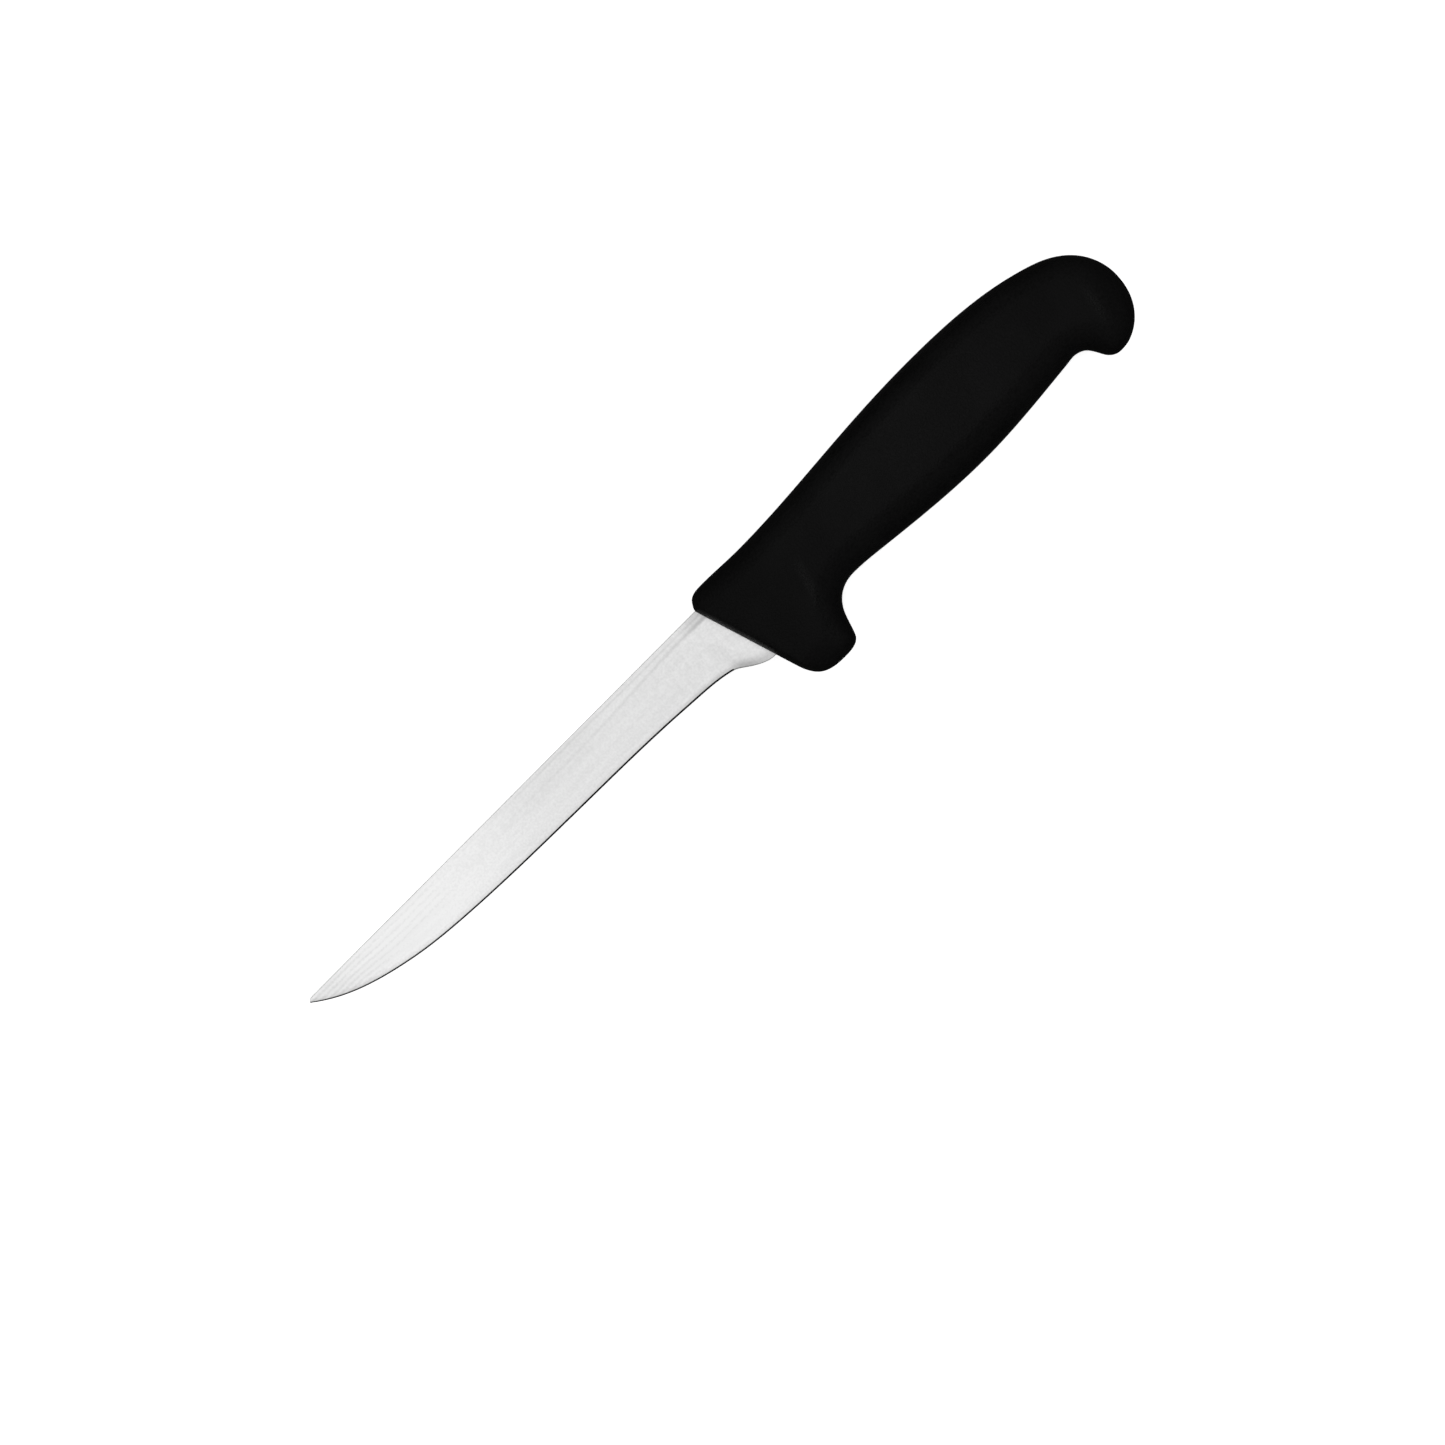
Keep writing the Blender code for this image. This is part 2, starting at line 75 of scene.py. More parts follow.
# Handle, through its thickness
FRONT_THINNING = 7.4 * MM
FRONT_LENGTH = 24.0 * MM
NECK_THINNING = 2.0 * MM
NECK_BACK = 4.0 * MM  # from the waist back to where the neck is thinnest
POMMEL_THINNING = 1.4 * MM
SWELL_LENGTH = 30.0 * MM
FRONT_ROUND = 1.5 * MM
SPINE_ROUND = 7.4 * MM
FINGER_ROUND = 8.6 * MM
SPINE_FULLNESS = 2.0
FINGER_FULLNESS = 1.45

# Room for the core inside the grip
CORE_FRONT = 13.0 * MM
POMMEL_WALL = 18.5 * MM
GRIP_WALL = 5.0 * MM
GRIP_SIDE_WALL = 3.6 * MM
CORE_CORNER = 3.0 * MM
CORE_ROOM = 0.3 * MM  # all round the core
CORE_RINGS = 14
CORE_REACH = 1.5 * MM  # of the outline that a ring of the core's room follows, each way

# Slot for the steel in the grip, as far as the core's room
SLOT_START = -6.0 * MM
SLOT_END = 13.2 * MM
SLOT_ROOM = 0.06 * MM  # between the steel and the plastic moulded round it

# Grip mesh
OUTLINE_STEP = 0.7 * MM
FINE_STEP = 0.1 * MM  # for measuring distances to the outline
ROUND_STEPS = 14
RING_ROOM = 0.97  # of a ring's depth, which its points keep from every side
PANEL_STEP = 1.2 * MM
PANEL_ROOM = 0.4 * PANEL_STEP  # between the rounding and the panel's grid
GRIP_SHARP_ANGLE = 40.0

# Blade and tang
BLADE_LENGTH = 150.0 * MM
BLADE_WIDTH = 16.0 * MM
HEEL_DEPTH = 24.1 * MM
HEEL_LENGTH = 5.5 * MM
HEEL_BLEND = 4.0 * MM
BELLY_LENGTH = 50.0 * MM
TIP_WIDTH = 1.0 * MM
BLADE_THICKNESS = 2.0 * MM
TIP_THICKNESS = 0.9 * MM
POINT_LENGTH = 12.0 * MM
POINT_SHARE = 0.45
PARALLEL_LENGTH = 28.0 * MM
POLISH_END = 3.5 * MM
STOCK_START = 1.0 * MM
STOCK_THICKNESS = 2.1 * MM
TANG_LENGTH = 98.0 * MM
TANG_TOP = 4.0 * MM
TANG_WIDTH = 13.0 * MM
TANG_END_WIDTH = 9.0 * MM
TANG_SHOULDER = 11.0 * MM
SHOULDER_BLEND = 2.0 * MM
TANG_HOLES = (26.0 * MM, 52.0 * MM, 78.0 * MM)
TANG_HOLE_RADIUS = 3.0 * MM

# Blade mesh
SPINE_RADIUS = 0.12 * MM
FLAT_WIDTH = 3.2 * MM
BEVEL_WIDTH = 0.5 * MM
BEVEL_THICKNESS = 0.34 * MM
EDGE_THICKNESS = 0.03 * MM
HEEL_EASE = 0.03 * MM  # the unground heel's rounding on either side, where its bevel would start
HEEL_CHAMFER = 0.15 * MM  # and at its lower edge
HEEL_BEVEL_SHARE = 0.3  # of the bevel's width, which that rounding takes
RADIUS_SHARE = 0.6  # of half the thickness: the most that the spine's radius takes
FLAT_SHARE = 0.35  # of the width: the most that the flat takes
BEVEL_SHARE = 0.2  # of the width
BEVEL_HALF_SHARE = 0.6  # of half the thickness
BLADE_STEP = 0.75 * MM
EDGE_STEP = 0.5 * MM
GRIND_ROWS = 10
TIP_STRETCH = 2.0 * MM  # that has finer rings, closest at the point
TIP_RINGS = 12
BLADE_SHARP_ANGLE = 12.0

# Marks on the steel: a step is (start, end, value at the start, value at the end), and it goes by the place
# along the blade unless its name says otherwise. A depth is the share of the brightness that a mark takes.
STREAK_SCALE = (24.0, 15.0, 0.0)
STREAK_DEPTH = 0.026
GRAIN_SCALE = (1500.0, 1500.0, 1500.0)
GRAIN_DEPTH = 0.085
BRUSHING_SCALE = (1100.0, 5.0, 0.0)
BRUSHING_DEPTH = (-45.0 * MM, -12.0 * MM, 0.0, 0.05)
SCRATCH_SCALE = (40.0, 75.0, 0.0)
SCRATCH_HEIGHT = 0.002 * MM
STRIPE_PERIOD = (-118.0 * MM, -138.0 * MM, 1.68 * MM, 1.3 * MM)
STRIPE_DEPTH = (-94.0 * MM, -112.0 * MM, 0.0, 0.06)
STRIPES_BELOW_SPINE = (10.0 * MM, 6.0 * MM, 0.0, 1.0)
LOWER_LINE = (-8.0 * MM, -50.0 * MM, 2.9 * MM, 4.4 * MM)  # below the spine
LOWER_LINE_WIDTH = 0.8 * MM
LOWER_LINE_DEPTH_IN_MIDDLE = (-90.0 * MM, -58.0 * MM, 0.0, 0.07)
LOWER_LINE_DEPTH_AT_HANDLE = (-50.0 * MM, -2.0 * MM, 0.0, 0.09)
UPPER_LINE = (-15.0 * MM, -50.0 * MM, 1.45 * MM, 1.1 * MM)  # below the spine
UPPER_LINE_WIDTH = 0.55 * MM
UPPER_LINE_DEPTH = (-85.0 * MM, -55.0 * MM, 0.02, 0.1)
BAND_BELOW_SPINE = (3.9 * MM, 3.2 * MM, 0.0, 1.0)
BAND_DEPTH = (-9.0 * MM, -0.5 * MM, 0.0, 0.19)
# A stretch of the spine's half, in the middle of the blade, made darker
DARKER_STRETCH_BELOW_SPINE = (8.0 * MM, 6.5 * MM, 0.0, 1.0)
DARKER_STRETCH_FROM = (-36.0 * MM, -50.0 * MM, 0.0, 1.0)
DARKER_STRETCH_TO = (-82.0 * MM, -66.0 * MM, 0.0, 1.0)
DARKER_STRETCH_DEPTH = 0.035

# Painted light and shade on the steel, with steps as above
# Painted light: the steel made brighter towards the tip, and eased back a little at the point
PAINTED_LIGHT_ALONG_BLADE = (-50.0 * MM, -120.0 * MM, 0.94, 1.08)
PAINTED_LIGHT_AT_TIP = (-122.0 * MM, -142.0 * MM, 1.0, 0.94)
# Painted shade on the lower side: its darkest level along the blade and its reach from the edge, then the
# same at the heel
PAINTED_EDGE_SHADE_LEVEL = (-22.0 * MM, -8.0 * MM, 0.86, 0.73)
EDGE_SHADE = (0.3 * MM, 2.1 * MM)  # from the edge
PAINTED_HEEL_SHADE_LEVEL = (0.5 * MM, 5.0 * MM, 0.58, 0.72)
HEEL_SHADE = (0.4 * MM, 3.7 * MM)  # from the edge
HEEL_SHADE_SHARE = (-4.5 * MM, -0.5 * MM, 0.0, 1.0)
# Painted shade: a near-black line along the edge bevel, as far as the heel
PAINTED_EDGE_LINE_WIDTH = (-140.0 * MM, -40.0 * MM, 0.36 * MM, 0.52 * MM)
PAINTED_EDGE_LINE_END = -HEEL_LENGTH + 1.8 * MM
PAINTED_EDGE_LINE_DEPTH = 0.97

# Skin of the grip
PEBBLE_SCALE = (1700.0, 1700.0, 1700.0)
PEBBLE_HEIGHT = 0.08 * MM
PATCH_SCALE = (60.0, 60.0, 60.0)
GUARD_CREST = ((29.5 * MM, -9.0 * MM), (21.5 * MM, -35.0 * MM))
POMMEL_CREST = ((137.0 * MM, -12.0 * MM), (135.0 * MM, -24.0 * MM))
CREST_WIDTH = 2.2 * MM  # to either side of its middle
CREST_POLISH = 0.3
MIDDLE_X = (75.0 * MM, 90.0 * MM)  # the stretch of the barrel that is polished most
MIDDLE_POLISH = 0.15


def direction(heading):
    return np.array((math.cos(math.radians(heading)), math.sin(math.radians(heading))))


def ease(value, start, end):
    """0 before start, 1 after end, and a smooth step between them."""
    t = np.clip((value - start) / (end - start), 0.0, 1.0)
    return t * t * (3.0 - 2.0 * t)


def mesh_object(name, vertices, faces):
    mesh = bpy.data.meshes.new(name)
    mesh.from_pydata([tuple(map(float, vertex)) for vertex in vertices], [], faces)
    build = bmesh.new()
    build.from_mesh(mesh)
    bmesh.ops.recalc_face_normals(build, faces=build.faces)
    build.to_mesh(mesh)
    build.free()
    obj = bpy.data.objects.new(name, mesh)
    bpy.context.scene.collection.objects.link(obj)
    return obj


def drop_doubled_faces(mesh):
    """Removes faces that lie back to back on the same corners, which a cut can leave behind."""
    build = bmesh.new()
    build.from_mesh(mesh)
    corners = {face: frozenset(face.verts) for face in build.faces}
    uses = Counter(corners.values())
    doubled = [face for face in build.faces if uses[corners[face]] > 1]
    bmesh.ops.delete(build, geom=doubled, context="FACES")
    build.to_mesh(mesh)
    build.free()


def cut(obj, cutter):
    """Cuts the cutter's shape out of the object for good, and removes the cutter."""
    boolean = obj.modifiers.new("cut", "BOOLEAN")
    boolean.operation = "DIFFERENCE"
    boolean.object = cutter
    graph = bpy.context.evaluated_depsgraph_get()
    result = bpy.data.meshes.new_from_object(obj.evaluated_get(graph))
    obj.modifiers.clear()
    drop_doubled_faces(result)
    obj.data = result
    bpy.data.objects.remove(cutter)


def loft(name, rings):
    """A closed solid through rings that all have the same number of points."""
    count = len(rings[0])
    vertices = [point for ring in rings for point in ring]
    faces = [tuple(range(count)), tuple(range(len(vertices) - count, len(vertices)))]
    for start in range(0, len(vertices) - count, count):
        for i in range(count):
            j = (i + 1) % count
            faces.append((start + i, start + j, start + count + j, start + count + i))
    return mesh_object(name, vertices, faces)


# ---------------------------------------------------------------- frame


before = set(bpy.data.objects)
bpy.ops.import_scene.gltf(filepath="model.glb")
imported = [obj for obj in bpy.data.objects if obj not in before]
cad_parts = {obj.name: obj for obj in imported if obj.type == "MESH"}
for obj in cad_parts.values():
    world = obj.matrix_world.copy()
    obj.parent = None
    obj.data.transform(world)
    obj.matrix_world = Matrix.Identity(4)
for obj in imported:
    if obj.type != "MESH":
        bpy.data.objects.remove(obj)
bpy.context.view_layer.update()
grip_low, grip_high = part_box("handle_grip")
ORIGIN = Vector(
    (
        grip_high.x - HANDLE_LENGTH,
        grip_high.y - BACK_HEIGHT,
        (grip_low.z + grip_high.z) / 2.0,
    )
)
HANDLE_THICKNESS = grip_high.z - grip_low.z


# ---------------------------------------------------------------- grip


def curve_through(knots, step):
    """Points along a smooth curve through knots of (x, y, heading), without the last knot."""
    points = []
    for (x0, y0, heading0), (x1, y1, heading1) in zip(knots, knots[1:]):
        start = np.array((x0, y0))
        end = np.array((x1, y1))
        chord = np.linalg.norm(end - start)
        turn = abs(math.radians((heading1 - heading0 + 180.0) % 360.0 - 180.0))
        reach = chord / 3.0
        if turn > 0.001:
            reach = chord * 2.0 / 3.0 * math.tan(turn / 4.0) / math.sin(turn / 2.0)
        leave = start + reach * direction(heading0)
        arrive = end - reach * direction(heading1)
        count = max(2, round(chord / step))
        for t in np.arange(count) / count:
            s = 1.0 - t
            points.append(s**3 * start + 3 * s * s * t * leave + 3 * s * t * t * arrive + t**3 * end)
    return np.array(points)


def handle_knots():
    """Knots round the handle: down the front, past the guard and the fingers, and back over the pommel."""
    rake = math.tan(math.radians(FRONT_RAKE))
    down_front = -90.0 + FRONT_RAKE
    front_end = GUARD_DEPTH - 8.9 * MM
    notch = HANDLE_LENGTH - POMMEL_LENGTH
    barrel = notch - WAIST_X
    end = HANDLE_LENGTH
    knots = [
        (3.2 * MM * rake, -3.2 * MM, down_front),
        (front_end * rake, -front_end, down_front),
        (GUARD_BACK - 14.0 * MM, -GUARD_DEPTH + 1.9 * MM, -39.0),
        (GUARD_BACK - 6.0 * MM, -GUARD_DEPTH, 0.0),
        (GUARD_BACK, -GUARD_DEPTH + 2.4 * MM, 68.0),
        (GUARD_BACK + 2.1 * MM, -WAIST_DEPTH - 6.2 * MM, 68.0),
        (WAIST_X - 6.6 * MM, -WAIST_DEPTH - 2.2 * MM, 40.0),
        (WAIST_X, -WAIST_DEPTH, 0.0),
        (WAIST_X + 0.1 * barrel, -WAIST_DEPTH - 0.6 * MM, -6.5),
        (WAIST_X + 0.56 * barrel, -BELLY_DEPTH, 0.0),
        (notch - 4.3 * MM, -NOTCH_DEPTH - 0.2 * MM, 5.5),
        (notch, -NOTCH_DEPTH, -14.0),
        (end - 20.1 * MM, -NOTCH_DEPTH - 1.6 * MM, -50.0),
        (end - 17.6 * MM, -BEAK_DEPTH + 2.2 * MM, -58.0),
        (end - 13.7 * MM, -BEAK_DEPTH, 0.0),
        (end - 9.6 * MM, -BEAK_DEPTH + 0.65 * MM, 21.0),
        (end - 3.0 * MM, -BEAK_DEPTH + 5.85 * MM, 54.5),
        (end, -0.5 * BEAK_DEPTH, 90.0),
        (end - 4.3 * MM, BACK_HEIGHT - 11.9 * MM, 131.0),
        (end - 14.3 * MM, BACK_HEIGHT - 5.5 * MM, 161.0),
        (WAIST_X + 0.585 * barrel, BACK_HEIGHT, 180.0),
        (WAIST_X + 0.235 * barrel, (NECK_HEIGHT + 1.6 * BACK_HEIGHT) / 2.6, 184.2),
        (20.3 * MM, NECK_HEIGHT, 180.0),
        (5.6 * MM, NECK_HEIGHT + 0.4 * MM, 181.0),
        (1.15 * MM, NECK_HEIGHT - 1.3 * MM, 238.0),
        (0.12 * MM, -0.2 * MM, down_front - 12.0),
    ]
    return knots + knots[:1]


def behind_front(points):
    """Distance from the straight line of the front face, positive inside the handle."""
    return points @ direction(FRONT_RAKE)


def distance_to(outline, points):
    """Distance from each point to the outline's nearest corner, and which one that is."""
    away = np.empty(len(points))
    nearest = np.empty(len(points), int)
    for start in range(0, len(points), 1000):
        part = slice(start, start + 1000)
        apart = np.linalg.norm(points[part, None, :] - outline[None, :, :], axis=2)
        away[part] = apart.min(1)
        nearest[part] = apart.argmin(1)
    return away, nearest


def side_distance(outline, points):
    """Distance to the outline without its front face, rounded off where two sides are equally near.

    It sums 1 / distance**5 along the outline, which a straight side alone turns into its distance**-4.
    """
    power = 4.0
    straight = math.sqrt(math.pi) * math.gamma(power / 2.0) / math.gamma((power + 1.0) / 2.0)
    ahead = np.roll(outline, -1, axis=0)
    middles = (ahead + outline) / 2.0
    counted = np.linalg.norm(ahead - outline, axis=1)
    counted *= ease(behind_front(middles), 0.2 * MM, 2.5 * MM)
    total = np.empty(len(points))
    for start in range(0, len(points), 500):
        part = slice(start, start + 500)
        apart = np.linalg.norm(points[part, None, :] - middles[None, :, :], axis=2)
        total[part] = (counted / apart ** (power + 1.0)).sum(1)
    return (total / straight) ** (-1.0 / power)


def toward_fingers(points):
    """0 on the spine side of the handle, 1 on the finger side."""
    middle = WAIST_DEPTH / 2.0
    blend = 5.0 * MM
    return ease(-points[:, 1], middle - blend, middle + blend)


def barrel_thinning(x):
    """How much thinner the handle is at x than at its swell: at the neck, and towards the pommel."""
    notch = HANDLE_LENGTH - POMMEL_LENGTH
    neck = WAIST_X + NECK_BACK
    swell_start = (WAIST_X + notch - SWELL_LENGTH) / 2.0
    to_neck = ease(x, GUARD_BACK, neck) - ease(x, neck, swell_start)
    return NECK_THINNING * to_neck + POMMEL_THINNING * ease(x, swell_start + SWELL_LENGTH, notch)


def side_height(outline, points):
    """How far the handle's side stands out from the middle plane at each point."""
    from_front = behind_front(points)
    slope = 1.0 - np.clip(from_front / FRONT_LENGTH, 0.0, 1.0)
    half = (HANDLE_THICKNESS - FRONT_THINNING * slope * slope - barrel_thinning(points[:, 0])) / 2.0
    fingers = toward_fingers(points)
    reach = SPINE_ROUND + (FINGER_ROUND - SPINE_ROUND) * fingers
    fullness = SPINE_FULLNESS + (FINGER_FULLNESS - SPINE_FULLNESS) * fingers
    from_side = np.clip(side_distance(outline, points) / reach, 0.0, 1.0)
    from_face = np.clip(from_front / FRONT_ROUND, 0.0, 1.0)
    side_curve = np.sqrt(1.0 - (1.0 - from_side) ** fullness)
    return half * side_curve * np.sqrt(1.0 - (1.0 - from_face) ** 2)


def rounding_reach(outline):
    """How far in from each point of the outline the handle is still rounded."""
    side = SPINE_ROUND + (FINGER_ROUND - SPINE_ROUND) * toward_fingers(outline)
    return FRONT_ROUND + (side - FRONT_ROUND) * ease(behind_front(outline), 0.2 * MM, 6.0 * MM)


def inward_rings(outline, reach):
    """Points on lines that run along the outline, closer together near it, as a rounding needs."""
    along = np.roll(outline, -1, axis=0) - np.roll(outline, 1, axis=0)
    along /= np.linalg.norm(along, axis=1)[:, None]
    inward = np.column_stack((-along[:, 1], along[:, 0]))
    rings = []
    for step in range(1, ROUND_STEPS + 1):
        depth = reach * (1.0 - math.cos(math.pi / 2.0 * step / (ROUND_STEPS + 0.5)))
        ring = outline + depth[:, None] * inward
        rings.append(ring[distance_to(outline, ring)[0] > RING_ROOM * depth])
    return rings


def winding(outline, points):
    """True for each point inside the outline."""
    turned = np.empty(len(points))
    for start in range(0, len(points), 1000):
        part = slice(start, start + 1000)
        first = outline[None, :, :] - points[part, None, :]
        second = np.roll(first, -1, axis=1)
        cross = first[:, :, 0] * second[:, :, 1] - first[:, :, 1] * second[:, :, 0]
        turned[part] = np.arctan2(cross, (first * second).sum(2)).sum(1)
    return np.abs(turned) > math.pi


def panel_points(outline, reach):
    """A plain grid inside the last ring."""
    low = outline.min(0)
    high = outline.max(0)
    xs = np.arange(low[0], high[0], PANEL_STEP)
    ys = np.arange(low[1], high[1], PANEL_STEP)
    grid = np.array([(x, y) for x in xs for y in ys])
    away, nearest = distance_to(outline, grid)
    return grid[winding(outline, grid) & (away > reach[nearest] + PANEL_ROOM)]


def grip_form():
    """The outer form of the handle: two mirrored sides that meet on the outline at z = 0."""
    knots = handle_knots()
    outline = curve_through(knots, OUTLINE_STEP)
    reach = rounding_reach(outline)
    inside = np.concatenate(inward_rings(outline, reach) + [panel_points(outline, reach)])
    count = len(outline)
    flat = [Vector(point) for point in np.concatenate((outline, inside))]
    placed, _, triangles, _, _, _ = delaunay_2d_cdt(flat, [], [list(range(count))], 1, 1e-6)
    points = np.array([tuple(point) for point in placed])
    height = side_height(curve_through(knots, FINE_STEP), points[count:])
    lower = len(points)
    vertices = [(x, y, 0.0) for x, y in points[:count]]
    vertices += [(x, y, z) for (x, y), z in zip(points[count:], height)]
    vertices += [(x, y, -z) for (x, y), z in zip(points[count:], height)]
    faces = [tuple(face) for face in triangles]
    for face in triangles:
        mirrored = [i if i < count else i - count + lower for i in face]
        faces.append(tuple(reversed(mirrored)))
    return mesh_object("grip", vertices, faces)


def rounded_ring(x, bottom, top, half, corner):
    ring = []
    centres = (
        (top - corner, half - corner, 0.0),
        (bottom + corner, half - corner, 90.0),
        (bottom + corner, corner - half, 180.0),
        (top - corner, corner - half, 270.0),
    )
    for y, z, start in centres:
        for turn in (0.0, 30.0, 60.0, 90.0):
            toward = direction(start + turn)
            ring.append((x, y + corner * toward[0], z + corner * toward[1]))
    return ring


def core_cutter():
    """The room that the hidden core takes up: a bar that follows the grip's spine side and finger side."""
    outline = curve_through(handle_knots(), EDGE_STEP)
    rings = []
    for x in np.linspace(CORE_FRONT - CORE_ROOM, HANDLE_LENGTH - POMMEL_WALL + CORE_ROOM, CORE_RINGS):
        half = (HANDLE_THICKNESS - barrel_thinning(x)) / 2.0 - GRIP_SIDE_WALL + CORE_ROOM
        near = outline[np.abs(outline[:, 0] - x) < CORE_REACH]
        top = near[:, 1].max() - GRIP_WALL + CORE_ROOM
        bottom = max(near[:, 1].min(), -BELLY_DEPTH) + GRIP_WALL - CORE_ROOM
        rings.append(rounded_ring(x, bottom, top, half, CORE_CORNER))
    return loft("core_cutter", rings)


# ---------------------------------------------------------------- blade


def edge_line():
    """(x, y) along the cutting edge and the heel, from the tip to inside the handle."""
    tip = -BLADE_LENGTH
    heel = -HEEL_LENGTH
    knots = [
        (tip, -TIP_WIDTH, -38.0),
        (tip + 0.17 * BELLY_LENGTH, -0.39 * BLADE_WIDTH, -25.5),
        (tip + 0.55 * BELLY_LENGTH, -0.755 * BLADE_WIDTH, -11.5),
        (tip + BELLY_LENGTH, -0.915 * BLADE_WIDTH, -3.6),
        (0.41 * tip, -0.99 * BLADE_WIDTH, -1.0),
        (heel - 14.5 * MM, -1.07 * BLADE_WIDTH, -4.0),
        (heel, -1.16 * BLADE_WIDTH, -12.0),
        (heel + 2.9 * MM, -1.22 * BLADE_WIDTH, -32.0),
        (heel + 6.7 * MM, -HEEL_DEPTH + 2.05 * MM, -31.0),
        (heel + 12.7 * MM, -HEEL_DEPTH, 0.0),
    ]
    return curve_through(knots, EDGE_STEP)


def past_shoulder(x):
    """0 in the blade and the heel, 1 in the tang."""
    return ease(x, TANG_SHOULDER - SHOULDER_BLEND, TANG_SHOULDER + SHOULDER_BLEND)


def blade_bottom(x, line):
    """The lower edge of the steel at x: the cutting edge, the heel, and then the tang."""
    tang_bottom = -TANG_TOP - TANG_WIDTH
    end_bottom = -TANG_TOP - (TANG_WIDTH + TANG_END_WIDTH) / 2.0
    tang = tang_bottom + (end_bottom - tang_bottom) * ease(x, TANG_SHOULDER, TANG_LENGTH)
    inside = past_shoulder(x)
    return np.interp(x, line[:, 0], line[:, 1]) * (1.0 - inside) + tang * inside


def blade_top(x):
    """The upper edge of the steel at x: the straight spine, and then the tang."""
    drop = TANG_TOP * past_shoulder(x)
    drop += (TANG_WIDTH - TANG_END_WIDTH) / 2.0 * ease(x, TANG_SHOULDER, TANG_LENGTH)
    tip_rounding = 0.6 * TIP_WIDTH * ease(-x, BLADE_LENGTH - TIP_WIDTH, BLADE_LENGTH)
    return -drop - tip_rounding


def steel_thickness(x):
    """Thickness along the spine: the tapering blade, its parallel stretch, and the stock of the tang."""
    behind_tip = np.minimum((x + BLADE_LENGTH) / (BLADE_LENGTH - PARALLEL_LENGTH), 1.0)
    taper = TIP_THICKNESS + (BLADE_THICKNESS - TIP_THICKNESS) * behind_tip
    point = POINT_SHARE + (1.0 - POINT_SHARE) * ease(x, -BLADE_LENGTH, -BLADE_LENGTH + POINT_LENGTH)
    unpolished = (STOCK_THICKNESS - BLADE_THICKNESS) * ease(x, -POLISH_END, -STOCK_START)
    return taper * point + unpolished


def blade_section(x, top, bottom, half, room):
    """One ring round the steel: rounded spine, flat, ground side, bevel and edge."""
    top += room
    bottom -= room
    half += room
    width = top - bottom
    ground = 1.0 - ease(x, -HEEL_LENGTH - HEEL_BLEND, HEEL_LENGTH)
    radius = min(SPINE_RADIUS, RADIUS_SHARE * half)
    flat = top - min(FLAT_WIDTH, FLAT_SHARE * width)
    bevel_share = HEEL_BEVEL_SHARE + (1.0 - HEEL_BEVEL_SHARE) * ground
    bevel = bottom + min(BEVEL_WIDTH, BEVEL_SHARE * width) * bevel_share
    flat = flat * ground + (bevel + 2.0 * BEVEL_WIDTH) * (1.0 - ground)
    bevel_half = min(BEVEL_THICKNESS / 2.0 + room, BEVEL_HALF_SHARE * half) * ground
    bevel_half += (half - HEEL_EASE) * (1.0 - ground)
    edge_half = (EDGE_THICKNESS / 2.0 + room) * ground + (half - HEEL_CHAMFER) * (1.0 - ground)
    side = []
    for turn in (5.0, 30.0, 60.0, 90.0):
        y, z = direction(90.0 - turn)[::-1]
        side.append((top - radius + radius * y, half - radius + radius * z))
    for share in np.linspace(0.25, 1.0, 4):
        side.append((top - radius + (flat - top + radius) * share, half))
    for share in np.arange(1, GRIND_ROWS + 1) / GRIND_ROWS:
        side.append((flat + (bevel - flat) * share, half + (bevel_half - half) * share))
    side.append(((bevel + bottom) / 2.0, (bevel_half + edge_half) / 2.0))
    side.append((bottom, edge_half))
    ring = [(x, y, z) for y, z in side]
    return ring + [(x, y, -z) for y, z in reversed(side)]


def steel_form(name, start, end, room):
    """The steel from x = start to x = end, with room all round it where it cuts its own slot."""
    line = edge_line()
    tip_steps = start + TIP_STRETCH * np.linspace(0.0, 1.0, TIP_RINGS) ** 2
    stations = np.linspace(start + TIP_STRETCH, end, round((end - start) / BLADE_STEP))[1:]
    rings = []
    for x in np.concatenate((tip_steps, stations)):
        half = steel_thickness(x) / 2.0
        rings.append(blade_section(x, blade_top(x), blade_bottom(x, line), half, room))
    return loft(name, rings)


def mark_grind(obj):
    """Stores each point's place along the blade, across its width, and its distance from the edge."""
    line = edge_line()
    points = np.array([vertex.co for vertex in obj.data.vertices])
    top = blade_top(points[:, 0])
    bottom = blade_bottom(points[:, 0], line)
    share = (top - points[:, 1]) / (top - bottom)
    grind = np.column_stack((points[:, 0], share, points[:, 1] - bottom))
    layer = obj.data.attributes.new("grind", "FLOAT_VECTOR", "POINT")
    layer.data.foreach_set("vector", grind.astype(np.float32).ravel())


# ---------------------------------------------------------------- materials


NOISE_ORIGIN = (0.3, 0.6, 0.45)  # off the noise's lattice, where it would be flat


